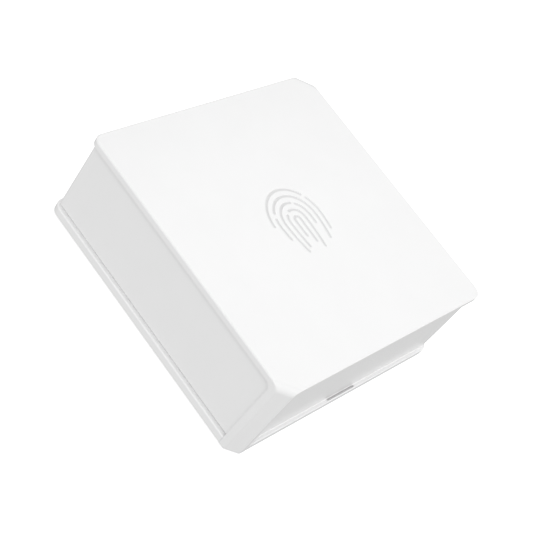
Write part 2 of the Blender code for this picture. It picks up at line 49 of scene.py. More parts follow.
# Top shell: a square plate, HALF from its middle to each side, with two corner columns
HALF = 50.0
TOP_Z = 36.9
BASE_Z = 0.8
RIM_Z = 34.65
CEILING_Z = 34.9
PLATE_RADIUS = 3.5
EDGE_ROUND = 0.45
COLUMN_LEG = 4.0
COLUMN_SOFT = 1.1
COLUMN_REACH = 6.25
COLUMN_WALL = 3.6
FOLD_RADIUS = 2.5
FOLD_DEGREES = (0, 4, 8, 13, 18, 24, 31, 38, 46, 54, 63, 75, 90)
WINDOW_RADIUS = 2.5
TOP_SHELL_SOFT = 0.28

# Base shell: a floor and flange up to the ledge, and the wall round the corner (+,-)
FLANGE_RADIUS = 3.8
FLANGE_LEG = 1.0
FLANGE_SOFT = 0.4
FLANGE_ROUND = 0.45
BOTTOM_ROUND = 0.3
LEDGE_Z = 4.0
FLOOR_Z = 2.6
WAIST_HALF = 48.7
WAIST_RADIUS = 1.2
WAIST_WALL = 2.0
WAIST_TOP_Z = 34.62
INNER_RADIUS = 0.6
FOOT_FILLET = 0.4
BASE_SHELL_SOFT = 0.18
VENT_COLUMNS = range(-4, 5)
VENT_PITCH = 5.0
VENT_LENGTH = 19.6
VENT_WIDTH = 1.6

# Port band: the wall round the corner (-,+), over an open seam
SEAM = 0.45
SEAM_DEPTH = 0.5
PORT_BAND_SOFT = 0.22

GAP = 0.05
HOLE_ROOM = 0.3
CORNER_STEPS = 18
CHAMFER_STEPS = 6
WINDOW_STEPS = 14
SHARP_DEGREES = 55

# Touch sign. Each arch: rank from the middle, height of its left and right ends, gaps along its run
SIGN_CENTRE = (0.3, -0.2)
SIGN_PITCH = 2.4
SIGN_FIRST = 1.2
SIGN_STRETCH = 1.12
SIGN_LEAN = 0.0016
SIGN_STEP = 0.25
SIGN_ARCHES = (
    (0, -6.2, -9.0, ()),
    (1, -9.8, -11.6, ((-3.0, -1.2),)),
    (2, -11.4, -3.0, ((1.9, 3.4),)),
    (3, -5.4, -9.6, ((-10.6, -8.6),)),
    (4, 0.6, -6.6, ((9.4, 11.2),)),
)
# Half width and depth across a groove, from the flat face to its bottom
GROOVE_PROFILE = (
    (0.60, 0.0), (0.52, 0.0), (0.48, 0.02), (0.455, 0.07), (0.43, 0.16), (0.38, 0.3), (0.30, 0.42),
    (0.19, 0.48), (0.08, 0.5), (0.02, 0.505),
)
CAP_STEPS = 8
FILL_TOP = 0.2
FILL_BOTTOM = 0.5
FILL_REACH = 0.46

# Status light
SLOT_X = 1.3
SLOT_LENGTH = 14.0
SLOT_OUT = -49.6
SLOT_IN = -48.85
SLOT_FLOOR = 2.5
GUIDE_TOP = 3.1

# Feet, screws, sockets and button. Each size: along X, along Y and along Z
SCREW_X = 39.0
SCREW_Y = 26.0
HEAD_RADIUS = 2.5
FOOT_AT = 38.5
FOOT_RADIUS = 4.6
ON_BOARD = 8.9
JACK_X = -3.0
JACK_SIZE = (16.0, 21.2, 13.4)
JACK_ROOM = 0.2
JACK_SHEET = 0.35
JACK_CORE_INSET = 0.6
CONTACTS = 8
CONTACT_PITCH = 1.02
CONTACT_HALF = 0.18
INLET_X = 21.0
INLET_SIZE = (8.94, 7.4, 3.26)
INLET_ROOM = 0.4
INLET_SHEET = 0.3
TONGUE_WIDTH = 6.6
TONGUE_HEIGHT = 0.7
RESET_X = -23.0
RESET_Z = 12.6
RESET_RADIUS = 2.0


# ---------------------------------------------------------------- shapes


def soft_corner(before, corner, after, radius, steps):
    """Points that round a corner with an arc of this radius."""
    corner = Vector(corner)
    u = (Vector(before) - corner).normalized()
    v = (Vector(after) - corner).normalized()
    half = u.angle(v) / 2
    middle = corner + (u + v).normalized() * (radius / math.sin(half))
    start = corner + u * (radius / math.tan(half)) - middle
    end = corner + v * (radius / math.tan(half)) - middle
    sweep = start.angle(end)
    turn = 1 if start.x * end.y - start.y * end.x > 0 else -1
    points = []
    for step in range(steps + 1):
        angle = turn * sweep * step / steps
        spin = Matrix.Rotation(angle, 2)
        points.append(tuple(middle + spin @ start))
    return points


def plan_outline(half, radius, leg, soft=COLUMN_SOFT):
    """Counter-clockwise square plan: chamfers at (-,-) and (+,+), rounds at (+,-) and (-,+)."""
    near = [(-half, -half + leg), (-half + leg, -half)]
    far = [(half, half - leg), (half - leg, half)]
    points = soft_corner((-half, half), near[0], near[1], soft, CHAMFER_STEPS)
    points += soft_corner(near[0], near[1], (half, -half), soft, CHAMFER_STEPS)
    points += soft_corner((-half, -half), (half, -half), (half, half), radius, CORNER_STEPS)
    points += soft_corner((half, -half), far[0], far[1], soft, CHAMFER_STEPS)
    points += soft_corner(far[0], far[1], (-half, half), soft, CHAMFER_STEPS)
    points += soft_corner((half, half), (-half, half), (-half, -half), radius, CORNER_STEPS)
    return points


def circle(x, y, radius, steps):
    points = []
    for step in range(steps):
        turn = 2 * math.pi * step / steps
        points.append((x + radius * math.cos(turn), y + radius * math.sin(turn)))
    return points


def box_outline(x0, x1, y0, y1):
    return [(x0, y0), (x1, y0), (x1, y1), (x0, y1)]


def mirrored(outline):
    return [(-a, b) for a, b in outline]


def stadium(x, z, width, height, steps=10):
    """Outline with half-round ends."""
    radius = height / 2
    points = []
    for end in (1, -1):
        for step in range(steps + 1):
            turn = math.radians(-90 + 180 * step / steps)
            points.append((
                x + end * (width / 2 - radius) + end * radius * math.cos(turn),
                z + end * radius * math.sin(turn),
            ))
    return points


def stack(rings, axis="Z", bm=None, caps=(True, True)):
    """A skin through rings of (height, outline), with an end face at each end unless caps says no."""
    bm = bm or bmesh.new()
    rows = []
    for height, outline in rings:
        row = []
        for a, b in outline:
            place = {"Z": (a, b, height), "Y": (a, height, b), "X": (height, a, b)}[axis]
            row.append(bm.verts.new(place))
        rows.append(row)
    if caps[0]:
        bm.faces.new(rows[0])
    if caps[1]:
        bm.faces.new(rows[-1])
    count = len(rows[0])
    for low, high in zip(rows, rows[1:]):
        for i in range(count):
            bm.faces.new((low[i], low[(i + 1) % count], high[(i + 1) % count], high[i]))
    return bm


def prism(outline, low, high, axis="Z"):
    return stack([(low, outline), (high, outline)], axis=axis)


def lathe(a, b, profile, steps, axis="Z"):
    """A piece turned round (a, b): profile is a run of (radius, height) from one end to the other."""
    return stack([(height, circle(a, b, radius, steps)) for radius, height in profile], axis=axis)


def object_from(name, bm):
    """Makes an object of a mesh in millimetres, with its faces outwards."""
    bmesh.ops.remove_doubles(bm, verts=bm.verts, dist=1e-5)
    bmesh.ops.recalc_face_normals(bm, faces=bm.faces)
    bmesh.ops.transform(bm, matrix=Matrix.Scale(MM, 4), verts=bm.verts)
    mesh = bpy.data.meshes.new(name)
    bm.to_mesh(mesh)
    bm.free()
    obj = bpy.data.objects.new(name, mesh)
    bpy.context.scene.collection.objects.link(obj)
    return obj


def combine(target, bm, operation):
    """Adds a Boolean with this mesh, which bake() applies."""
    other = object_from("tool_body", bm)
    other.hide_render = True
    step = target.modifiers.new(operation.lower(), "BOOLEAN")
    step.operation = operation
    step.solver = "EXACT"
    step.object = other


def cut(target, bm):
    combine(target, bm, "DIFFERENCE")


def join(target, bm):
    combine(target, bm, "UNION")


def bake(obj):
    """Turns the modifiers into the mesh itself, and drops the helpers they used."""
    bpy.context.view_layer.update()
    graph = bpy.context.evaluated_depsgraph_get()
    mesh = bpy.data.meshes.new_from_object(obj.evaluated_get(graph))
    used = [step.object for step in obj.modifiers if step.type == "BOOLEAN"]
    obj.modifiers.clear()
    old = obj.data
    obj.data = mesh
    mesh.name = obj.name
    bpy.data.meshes.remove(old)
    for other in used:
        bpy.data.objects.remove(other, do_unlink=True)


def soften(obj, width, angle=50, segments=3):
    """Rounds the sharp edges and makes the normals follow the large faces."""
    bevel = obj.modifiers.new("edges", "BEVEL")
    bevel.width = width * MM
    bevel.segments = segments
    bevel.limit_method = "ANGLE"
    bevel.angle_limit = math.radians(angle)
    shade(obj)
    weigh = obj.modifiers.new("normals", "WEIGHTED_NORMAL")
    weigh.keep_sharp = True
    weigh.weight = 100


def shade(obj, angle=38):
    obj.data.shade_smooth()
    obj.data.set_sharp_from_angle(angle=math.radians(angle))


def place(obj, look, body=HOUSING, stands_for=(), slot=None):
    """Gives a finished piece its material and body, and hides the CAD nodes it stands for. Slot is not
    used.
    """
    obj.data.materials.clear()
    obj.data.materials.append(look)
    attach(obj, body)
    if stands_for:
        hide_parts(*stands_for)
    return obj


# ---------------------------------------------------------------- materials


class Look:
    """A node material under construction."""

    def __init__(self, name):
        self.mat = bpy.data.materials.new(name)
        self.mat.use_nodes = True
        self.tree = self.mat.node_tree
        self.shader = self.tree.nodes["Principled BSDF"]
        self.coords = self.tree.nodes.new("ShaderNodeTexCoord").outputs["Object"]

    def node(self, kind, **values):
        made = self.tree.nodes.new(kind)
        for key, value in values.items():
            if key in made.inputs:
                made.inputs[key].default_value = value
            else:
                setattr(made, key, value)
        return made

    def link(self, source, target):
        self.tree.links.new(source, target)

    def noise(self, size, detail=3.0, stretch=None):
        """Noise whose features are about this many millimetres across."""
        made = self.node("ShaderNodeTexNoise", Scale=1.0 / (size * MM), Detail=detail, Roughness=0.55)
        source = self.coords
        if stretch:
            scale = self.node("ShaderNodeMapping")
            scale.inputs["Scale"].default_value = stretch
            self.link(source, scale.inputs["Vector"])
            source = scale.outputs["Vector"]
        self.link(source, made.inputs["Vector"])
        return made.outputs["Fac"]

    def cells(self, size):
        """Round cells about this many millimetres across."""
        made = self.node("ShaderNodeTexVoronoi", Scale=1.0 / (size * MM))
        self.link(self.coords, made.inputs["Vector"])
        return made.outputs["Distance"]

    def colour(self, factor, dark, light, low=0.35, high=0.65):
        """From dark to light as the factor goes from low to high."""
        ramp = self.tree.nodes.new("ShaderNodeValToRGB")
        ramp.color_ramp.elements[0].position = low
        ramp.color_ramp.elements[1].position = high
        ramp.color_ramp.elements[0].color = (*dark, 1.0)
        ramp.color_ramp.elements[1].color = (*light, 1.0)
        self.link(factor, ramp.inputs["Fac"])
        return ramp.outputs["Color"]

    def spread(self, factor, low, high):
        """A noise's middle range spread over low to high."""
        made = self.node("ShaderNodeMapRange")
        made.inputs["From Min"].default_value = 0.3
        made.inputs["From Max"].default_value = 0.7
        made.inputs["To Min"].default_value = low
        made.inputs["To Max"].default_value = high
        self.link(factor, made.inputs["Value"])
        return made.outputs["Result"]

    def bump(self, height, depth, strength=1.0, under=None):
        """Bump of this many millimetres."""
        made = self.node("ShaderNodeBump", Strength=strength, Distance=depth * MM)
        self.link(height, made.inputs["Height"])
        if under is not None:
            self.link(under, made.inputs["Normal"])
        return made.outputs["Normal"]

    def set(self, **values):
        """Sets the shader's sockets, each to a number, a colour or another node's output."""
        for key, value in values.items():
            socket = self.shader.inputs[key.replace("_", " ")]
            if hasattr(value, "is_linked"):
                self.link(value, socket)
            else:
                socket.default_value = value
        return self.mat


def moulded_plastic(name, dark, light, rough, grain, depth):
    """Moulded plastic: slow tone drift, a fine spark-eroded grain and a little orange peel."""
    look = Look(name)
    fine = look.noise(grain, 2.0)
    slow = look.noise(14.0, 2.0)
    peel = look.bump(look.noise(2.4, 2.0), depth * 1.2, 0.5)
    return look.set(
        Base_Color=look.colour(slow, dark, light, 0.3, 0.7),
        Roughness=look.spread(fine, rough - 0.04, rough + 0.05),
        Normal=look.bump(fine, depth, 0.6, peel),
    )


# How much finer noise is along each axis: 14 along one axis leaves lines across it.
EVEN = (1.0, 1.0, 1.0)
ALONG_X = (1.0, 14.0, 1.0)
ALONG_Y = (14.0, 1.0, 1.0)


def metal(name, dark, light, rough, stretch=ALONG_X, size=0.5):
    """Metal with fine lines that run as stretch says."""
    look = Look(name)
    lines = look.noise(size, 4.0, stretch)
    return look.set(
        Base_Color=look.colour(lines, dark, light),
        Metallic=1.0,
        Roughness=look.spread(lines, rough - 0.06, rough + 0.1),
        Normal=look.bump(lines, 0.003, 0.5),
    )


def board_look(name):
    """Solder mask over tracks: small bricks for the copper, lighter joints and a slight gloss."""
    look = Look(name)
    bricks = look.node("ShaderNodeTexBrick", Scale=1.0)
    scale = look.node("ShaderNodeMapping")
    scale.inputs["Scale"].default_value = (420.0, 420.0, 420.0)
    look.link(look.coords, scale.inputs["Vector"])
    look.link(scale.outputs["Vector"], bricks.inputs["Vector"])
    bricks.inputs["Color1"].default_value = (0.012, 0.085, 0.045, 1.0)
    bricks.inputs["Color2"].default_value = (0.016, 0.115, 0.06, 1.0)
    bricks.inputs["Mortar"].default_value = (0.035, 0.19, 0.095, 1.0)
    bricks.inputs["Mortar Size"].default_value = 0.035
    weave = look.noise(0.5, 3.0)
    return look.set(
        Base_Color=bricks.outputs["Color"],
        Roughness=look.spread(weave, 0.3, 0.42),
        Normal=look.bump(bricks.outputs["Fac"], 0.03, 0.5, look.bump(weave, 0.01, 0.4)),
        Coat_Weight=0.25,
        Coat_Roughness=0.2,
    )


def foam_look(name, dark, light):
    """Soft pad with open pores."""
    look = Look(name)
    pores = look.cells(0.5)
    return look.set(
        Base_Color=look.colour(pores, dark, light, 0.1, 0.6),
        Roughness=0.95,
        Normal=look.bump(pores, 0.12, 0.8),
    )


def grey(value):
    return (value, value, value)


WHITE = moulded_plastic("white_moulding", grey(0.825), grey(0.835), 0.2, 0.22, 0.0012)
MILK = moulded_plastic("milky_guide", grey(0.70), grey(0.73), 0.3, 0.3, 0.002)
# Grey of the fill in the sign's grooves: painted shade in the grooves, not a colour of its own
SIGN_SHADE_GREY = moulded_plastic("sign_painted_shade", grey(0.68), grey(0.72), 0.45, 0.2, 0.002)
RUBBER = moulded_plastic("foot_rubber", (0.045, 0.045, 0.047), (0.065, 0.065, 0.067), 0.78, 0.35, 0.02)
BLACK = moulded_plastic("black_resin", grey(0.012), grey(0.022), 0.5, 0.15, 0.008)
IVORY = moulded_plastic("ivory_resin", (0.66, 0.64, 0.56), (0.72, 0.70, 0.62), 0.4, 0.2, 0.004)
FERRITE = moulded_plastic("grey_ferrite", (0.09, 0.09, 0.10), (0.16, 0.16, 0.17), 0.65, 0.25, 0.02)
AMBER = moulded_plastic("amber_film", (0.42, 0.19, 0.035), (0.52, 0.26, 0.05), 0.3, 0.6, 0.004)
STEEL = metal("screw_steel", (0.42, 0.42, 0.41), (0.62, 0.62, 0.60), 0.3, EVEN, 0.4)
TIN = metal("tinned_steel", (0.56, 0.56, 0.55), (0.70, 0.70, 0.69), 0.28)
ALUMINIUM = metal("bare_aluminium", (0.66, 0.67, 0.68), (0.80, 0.81, 0.82), 0.35, ALONG_Y, 0.6)
GOLD = metal("antenna_brass", (0.68, 0.46, 0.16), (0.85, 0.62, 0.25), 0.25)
BOARD = board_look("board_green")
SOFT = foam_look("soft_pad", (0.10, 0.11, 0.13), (0.22, 0.24, 0.27))


# ---------------------------------------------------------------- touch sign


def arch_runs(rank, left_foot, right_foot, gaps):
    """Strokes of one arch. Its run is measured along the arch from the crown, left negative."""
    radius = SIGN_FIRST + SIGN_PITCH * rank
    left = radius * math.pi / 2 - left_foot
    right = radius * math.pi / 2 - right_foot
    count = int((left + right) / SIGN_STEP)
    runs = [[]]
    for i in range(count + 1):
        run = -left + (left + right) * i / count
        if any(low < run < high for low, high in gaps):
            if runs[-1]:
                runs.append([])
            continue
        over = abs(run) - radius * math.pi / 2
        side = -1 if run < 0 else 1
        if over > 0:
            x = side * radius * (1 - SIGN_LEAN * over * over)
            y = -over
        else:
            x = radius * math.sin(run / radius)
            y = radius * SIGN_STRETCH * math.cos(run / radius)
        runs[-1].append((SIGN_CENTRE[0] + x, SIGN_CENTRE[1] + y))
    return [run for run in runs if len(run) > 2]


def round_end(x, y, angle, reach):
    """The points between the two ends of a half circle that runs clockwise from this angle."""
    points = []
    for step in range(1, CAP_STEPS):
        turn = angle - math.pi * step / CAP_STEPS
        points.append((x + reach * math.cos(turn), y + reach * math.sin(turn)))
    return points


def stroke_outline(points, reach):
    """Closed outline this far from a run of points, with round ends."""
    left = []
    right = []
    angles = []
    for i, (x, y) in enumerate(points):
        x0, y0 = points[max(i - 1, 0)]
        x1, y1 = points[min(i + 1, len(points) - 1)]
        long = math.hypot(x1 - x0, y1 - y0)
        nx = -(y1 - y0) / long
        ny = (x1 - x0) / long
        left.append((x + nx * reach, y + ny * reach))
        right.append((x - nx * reach, y - ny * reach))
        angles.append(math.atan2(ny, nx))
    last = round_end(*points[-1], angles[-1], reach)
    first = round_end(*points[0], angles[0] + math.pi, reach)
    return left + last + right[::-1] + first


def add_sign(bm, rim):
    """The flat top face inside the rim, with the arches sunk in it as rounded grooves."""
    points = [Vector(p) for p in rim]
    edges = [(i, (i + 1) % len(rim)) for i in range(len(rim))]
    strokes = [run for arch in SIGN_ARCHES for run in arch_runs(*arch)]
    for run in strokes:
        outline = stroke_outline(run, GROOVE_PROFILE[0][0])
        first = len(points)
        points += [Vector(p) for p in outline]
        edges += [(first + i, first + (i + 1) % len(outline)) for i in range(len(outline))]
        rings = [(TOP_Z - depth, stroke_outline(run, reach)) for reach, depth in GROOVE_PROFILE]
        stack(rings, bm=bm, caps=(False, True))
    made, _, faces, _, _, _ = geometry.delaunay_2d_cdt(points, edges, [], 0, 1e-6)
    flat = [bm.verts.new((p.x, p.y, TOP_Z)) for p in made]
    # A face in a groove has its middle within the groove's half width of the run.
    limit = (GROOVE_PROFILE[0][0] - 0.02) ** 2
    for face in faces:
        x = sum(made[i].x for i in face) / len(face)
        y = sum(made[i].y for i in face) / len(face)
        inside = any((x - a) ** 2 + (y - b) ** 2 < limit for run in strokes for a, b in run)
        if not inside:
            bm.faces.new([flat[i] for i in face])


def build_sign_fill():
    """Grey fill lying low in the grooves: its darker grey is painted shade that darkens the strokes."""
    bm = bmesh.new()
    for arch in SIGN_ARCHES:
        for run in arch_runs(*arch):
            outline = stroke_outline(run, FILL_REACH)
            stack([(TOP_Z - FILL_BOTTOM, outline), (TOP_Z - FILL_TOP, outline)], bm=bm)
    return place(object_from("touch_sign_shade_fill", bm), SIGN_SHADE_GREY)


# ---------------------------------------------------------------- housing


def edge_inset(depth, radius):
    """How far an edge of this radius stands in at this depth below the face."""
    rise = max(radius - depth, 0.0)
    return radius - math.sqrt(max(radius**2 - rise**2, 0.0))


def window_corner(reach):
    """Quarter circle in the upper corner of a window, concentric with the corner's own round."""
    across = -HALF + COLUMN_REACH + WINDOW_RADIUS
    up = RIM_Z - WINDOW_RADIUS
    points = []
    for step in range(WINDOW_STEPS + 1):
        turn = math.radians(90 * step / WINDOW_STEPS)
        points.append((across - reach * math.cos(turn), up + reach * math.sin(turn)))
    return points


def build_top_shell():
    """The plate with its columns and sign. Four windows leave only the columns below the rim."""
    rings = []
    for fold in FOLD_DEGREES:
        depth = FOLD_RADIUS * (1 - math.cos(math.radians(fold)))
        side = edge_inset(depth, EDGE_ROUND)
        leg = COLUMN_LEG + math.sqrt(2) * edge_inset(depth, FOLD_RADIUS)
        leg -= side * (2 - math.sqrt(2)) * 0.5
        rings.append((TOP_Z - depth, plan_outline(HALF - side, PLATE_RADIUS - side, leg)))
    rim = rings[0][1]
    rings.append((BASE_Z, plan_outline(HALF, PLATE_RADIUS, COLUMN_LEG)))
    hollow = plan_outline(HALF - COLUMN_WALL, 1.0, 4.0, 0.3)
    rings += [(BASE_Z, hollow), (CEILING_Z, hollow)]
    bm = stack(rings, caps=(False, True))
    add_sign(bm, rim)
    top = object_from("top_shell_skin", bm)
    near = HALF - COLUMN_WALL - 1.5
    far = HALF + 5
    below = -5.0
    window = [
        (-HALF + COLUMN_REACH, below), *window_corner(WINDOW_RADIUS), (far, RIM_Z), (far, below),
    ]
    for axis in ("X", "Y"):
        cut(top, prism(window, -far, -near, axis=axis))
        cut(top, prism(mirrored(window), near, far, axis=axis))
    bake(top)
    soften(top, TOP_SHELL_SOFT, SHARP_DEGREES)
    bake(top)
    place(top, WHITE, stands_for=["top_shell"], slot="white_housing")


def gusset_clearance():
    """The room that the rounded upper corner of a window needs in the wall behind it."""
    out = -HALF + COLUMN_REACH - 1
    across = -HALF + COLUMN_REACH + WINDOW_RADIUS
    up = RIM_Z - WINDOW_RADIUS
    return [(out, up), *window_corner(WINDOW_RADIUS - GAP), (across, RIM_Z + 1), (out, RIM_Z + 1)]


def wall_outline(flare, corner):
    """Plan of an L of waist wall: round the corner (+,-) for corner 1, or (-,+) for corner -1."""
    notch = HALF - COLUMN_REACH - GAP
    inner = WAIST_HALF - WAIST_WALL
    reach = WAIST_HALF - WAIST_RADIUS
    arc = []
    for step in range(CORNER_STEPS + 1):
        turn = math.radians(-90 + 90 * step / CORNER_STEPS)
        arc.append((
            reach + (WAIST_RADIUS + flare) * math.cos(turn),
            -reach + (WAIST_RADIUS + flare) * math.sin(turn),
        ))
    out = WAIST_HALF + flare
    points = [(-notch, -out), *arc, (out, notch), (inner, notch), (inner, -inner), (-notch, -inner)]
    return [(x * corner, y * corner) for x, y in points]


def flange_outline(inset):
    return plan_outline(HALF - inset, FLANGE_RADIUS - inset, FLANGE_LEG, FLANGE_SOFT)


def clear_gussets(wall, first, second):
    """Cuts the corner clearance through both legs of a wall, each along its own axis."""
    corner = gusset_clearance()
    cut(wall, prism(corner, -60.0, -40.0, axis=first))
    cut(wall, prism(mirrored(corner), 40.0, 60.0, axis=second))


def build_base_shell():
    """Floor, flange and the walls round the corner (+,-), with the holes in them."""
    inner = WAIST_HALF - WAIST_WALL
    notch = HALF - COLUMN_REACH - GAP
    rings = []
    bottom_steps = 4
    for step in range(bottom_steps + 1):
        turn = math.radians(90 * step / bottom_steps)
        height = BASE_Z + BOTTOM_ROUND * (1 - math.cos(turn))
        rings.append((height, flange_outline(BOTTOM_ROUND * (1 - math.sin(turn)))))
    edge_steps = 8
    for step in range(edge_steps + 1):
        turn = math.radians(90 * step / edge_steps)
        height = LEDGE_Z - FLANGE_ROUND * (1 - math.sin(turn))
        rings.append((height, flange_outline(FLANGE_ROUND * (1 - math.cos(turn)))))
    well = plan_outline(inner, INNER_RADIUS, FLANGE_LEG, FLANGE_SOFT)
    rings += [(LEDGE_Z, well), (FLOOR_Z, well)]
    base = object_from("base_shell_skin", stack(rings))
    wall = [(LEDGE_Z - 0.4, wall_outline(FOOT_FILLET, 1))]
    fillet_steps = 9
    for step in range(fillet_steps + 1):
        turn = math.radians(90 * step / fillet_steps)
        rise = FOOT_FILLET * (1 - math.cos(turn))
        wall.append((LEDGE_Z + rise, wall_outline(FOOT_FILLET * (1 - math.sin(turn)), 1)))
    wall.append((WAIST_TOP_Z, wall_outline(0.0, 1)))
    join(base, stack(wall))
    clear_gussets(base, "Y", "X")
    for x in (-SCREW_X, SCREW_X):
        for y in (-SCREW_Y, SCREW_Y):
            hole = circle(x, y, HEAD_RADIUS + HOLE_ROOM, 40)
            cut(base, prism(hole, BASE_Z - 1, FLOOR_Z - 0.1))
    for x in (-FOOT_AT, FOOT_AT):
        for y in (-FOOT_AT, FOOT_AT):
            hole = circle(x, y, FOOT_RADIUS + HOLE_ROOM, 56)
            cut(base, prism(hole, BASE_Z - 1, BASE_Z + 0.6))
    for low, high in ((-80.0, -notch), (notch, 80.0)):
        cut(base, prism(box_outline(low, high, low, high), -5.0, 60.0))
    middle = (SLOT_IN + SLOT_OUT) / 2
    mouth = stadium(SLOT_X, middle, SLOT_LENGTH, SLOT_IN - SLOT_OUT)
    cut(base, prism(mouth, SLOT_FLOOR, LEDGE_Z + 1))
    for column in VENT_COLUMNS:
        vent = [(y, x) for x, y in stadium(0.0, column * VENT_PITCH, VENT_LENGTH, VENT_WIDTH, 8)]
        cut(base, prism(vent, BASE_Z - 1, FLOOR_Z + 1))
    bake(base)
    soften(base, BASE_SHELL_SOFT, SHARP_DEGREES)
    bake(base)
    place(base, WHITE, stands_for=["base_shell"], slot="white_housing")


def build_port_band():
    """The walls round the corner (-,+), set back at the foot for the seam, with three openings."""
    foot = LEDGE_Z + SEAM
    rings = [
        (LEDGE_Z + 0.02, wall_outline(-SEAM_DEPTH, -1)),
        (foot, wall_outline(-SEAM_DEPTH, -1)),
        (foot, wall_outline(-0.15, -1)),
        (foot + 0.04, wall_outline(-0.07, -1)),
        (foot + 0.12, wall_outline(0.0, -1)),
        (WAIST_TOP_Z, wall_outline(0.0, -1)),
    ]
    band = object_from("port_band_skin", stack(rings))
    clear_gussets(band, "X", "Y")
    low = WAIST_HALF - WAIST_WALL - 2
    high = WAIST_HALF + 2
    width, _, height = JACK_SIZE
    opening = box_outline(
        JACK_X - width / 2 - JACK_ROOM, JACK_X + width / 2 + JACK_ROOM,
        ON_BOARD - JACK_ROOM, ON_BOARD + height + JACK_ROOM,
    )
    cut(band, prism(opening, low, high, axis="Y"))
    width, _, height = INLET_SIZE
    middle = ON_BOARD + height / 2
    inlet = stadium(INLET_X, middle, width + 2 * INLET_ROOM, height + 2 * INLET_ROOM, 14)
    cut(band, prism(inlet, low, high, axis="Y"))
    button_hole = circle(RESET_X, RESET_Z, RESET_RADIUS + HOLE_ROOM, 48)
    cut(band, prism(button_hole, low, high, axis="Y"))
    bake(band)
    soften(band, PORT_BAND_SOFT, SHARP_DEGREES)
    bake(band)
    place(band, WHITE, stands_for=["port_band"], slot="white_housing")


def build_feet():
    """Rubber feet with a shallow dish in the middle of the underside."""
    for i, (sx, sy) in enumerate(((-1, -1), (1, -1), (1, 1), (-1, 1))):
        x = sx * FOOT_AT
        y = sy * FOOT_AT
        r = FOOT_RADIUS
        profile = [
            (r - 1.3, 0.12), (r - 1.15, 0.0), (r - 0.35, 0.0), (r - 0.12, 0.06), (r - 0.03, 0.16),
            (r, 0.3), (r, BASE_Z + 0.3), (r - 0.3, BASE_Z + 0.45),
        ]
        foot = object_from(f"foot_skin_{i + 1}", lathe(x, y, profile, 64))
        shade(foot)
        place(foot, RUBBER, stands_for=[f"foot_pad_{i + 1}"], slot="foot_rubber")


def build_status_light():
    """The milky guide, standing below the mouth of the slot in the ledge."""
    middle = (SLOT_IN + SLOT_OUT) / 2
    wide = SLOT_LENGTH - 0.1
    tall = SLOT_IN - SLOT_OUT - 0.1
    rings = [
        (SLOT_FLOOR + 0.1, stadium(SLOT_X, middle, wide, tall)),
        (GUIDE_TOP - 0.08, stadium(SLOT_X, middle, wide, tall)),
        (GUIDE_TOP, stadium(SLOT_X, middle, wide - 0.2, tall - 0.2)),
    ]
    guide = object_from("status_light_lens", stack(rings))
    shade(guide)
    place(guide, MILK, stands_for=["status_light_guide"], slot="milky_light_guide")


def build_reset_cap():
    """The button's cap: a slightly dished face with a rounded edge, and a collar behind the wall."""
    front = WAIST_HALF + 0.3
    inner = WAIST_HALF - WAIST_WALL
    r = RESET_RADIUS
    profile = [
        (0.15, front - 0.16), (0.9, front - 0.12), (1.35, front - 0.05), (1.6, front),
        (1.82, front - 0.05), (1.95, front - 0.16), (r, front - 0.32), (r, inner - 0.4),
        (r + 1.0, inner - 0.4), (r + 1.0, inner - 1.2),
    ]
    cap = object_from("reset_cap_skin", lathe(RESET_X, RESET_Z, profile, 56, axis="Y"))
    shade(cap)
    place(cap, WHITE, body=BUTTON, stands_for=["reset_cap"], slot="white_housing")


def mouth_outline():
    """Front opening of the network socket: the plug's section with its latch step."""
    wide = 11.8 / 2
    mid = ON_BOARD + 6.0
    low = mid - 4.2
    high = mid + 2.6
    step = high + 1.6
    top = high + 3.0
    right = [(wide, low), (wide, high), (3.1, high), (3.1, step), (1.7, step), (1.7, top)]
    return [(JACK_X + a, b) for a, b in right] + [(JACK_X - a, b) for a, b in right[::-1]]


def finish_socket_part(obj, width, look, node, slot):
    bake(obj)
    soften(obj, width, 50, 2)
    bake(obj)
    place(obj, look, stands_for=[node], slot=slot)


def build_network_socket():
    """Sheet metal shell, resin core with the plug's mouth, and eight contacts on its floor."""
    width, deep, height = JACK_SIZE
    x0 = JACK_X - width / 2
    x1 = JACK_X + width / 2
    low = ON_BOARD
    high = ON_BOARD + height
    front = WAIST_HALF - 0.1
    back = front - deep
    outside = box_outline(x0, x1, low, high)
    shell = object_from("network_socket_shell", prism(outside, back, front, axis="Y"))
    sheet = JACK_SHEET
    hollow = box_outline(x0 + sheet, x1 - sheet, low + sheet, high - sheet)
    cut(shell, prism(hollow, back + sheet, front - sheet, axis="Y"))
    cut(shell, prism(mouth_outline(), front - 1.0, front + 1, axis="Y"))
    finish_socket_part(shell, 0.12, TIN, "ethernet_shell", "tinned_steel")
    inset = JACK_CORE_INSET
    filling = box_outline(x0 + inset, x1 - inset, low + inset, high - inset)
    core = object_from("network_socket_core", prism(filling, back + inset, front - inset, axis="Y"))
    cut(core, prism(mouth_outline(), front - 13.0, front + 1, axis="Y"))
    finish_socket_part(core, 0.08, BLACK, "ethernet_core", "black_resin")
    for i in range(CONTACTS):
        x = JACK_X + (i - (CONTACTS - 1) / 2) * CONTACT_PITCH
        floor = ON_BOARD + 1.9
        spring = [
            (front - 12.6, floor + 3.6), (front - 12.6, floor + 3.3), (front - 3.2, floor + 0.5),
            (front - 2.4, floor + 0.45), (front - 2.4, floor + 0.2), (front - 3.3, floor + 0.2),
        ]
        contact = prism(spring, x - CONTACT_HALF, x + CONTACT_HALF, axis="X")
        pin = object_from(f"network_contact_{i + 1}", contact)
        soften(pin, 0.04, 40, 2)
        bake(pin)
        place(pin, GOLD, slot="antenna_brass")


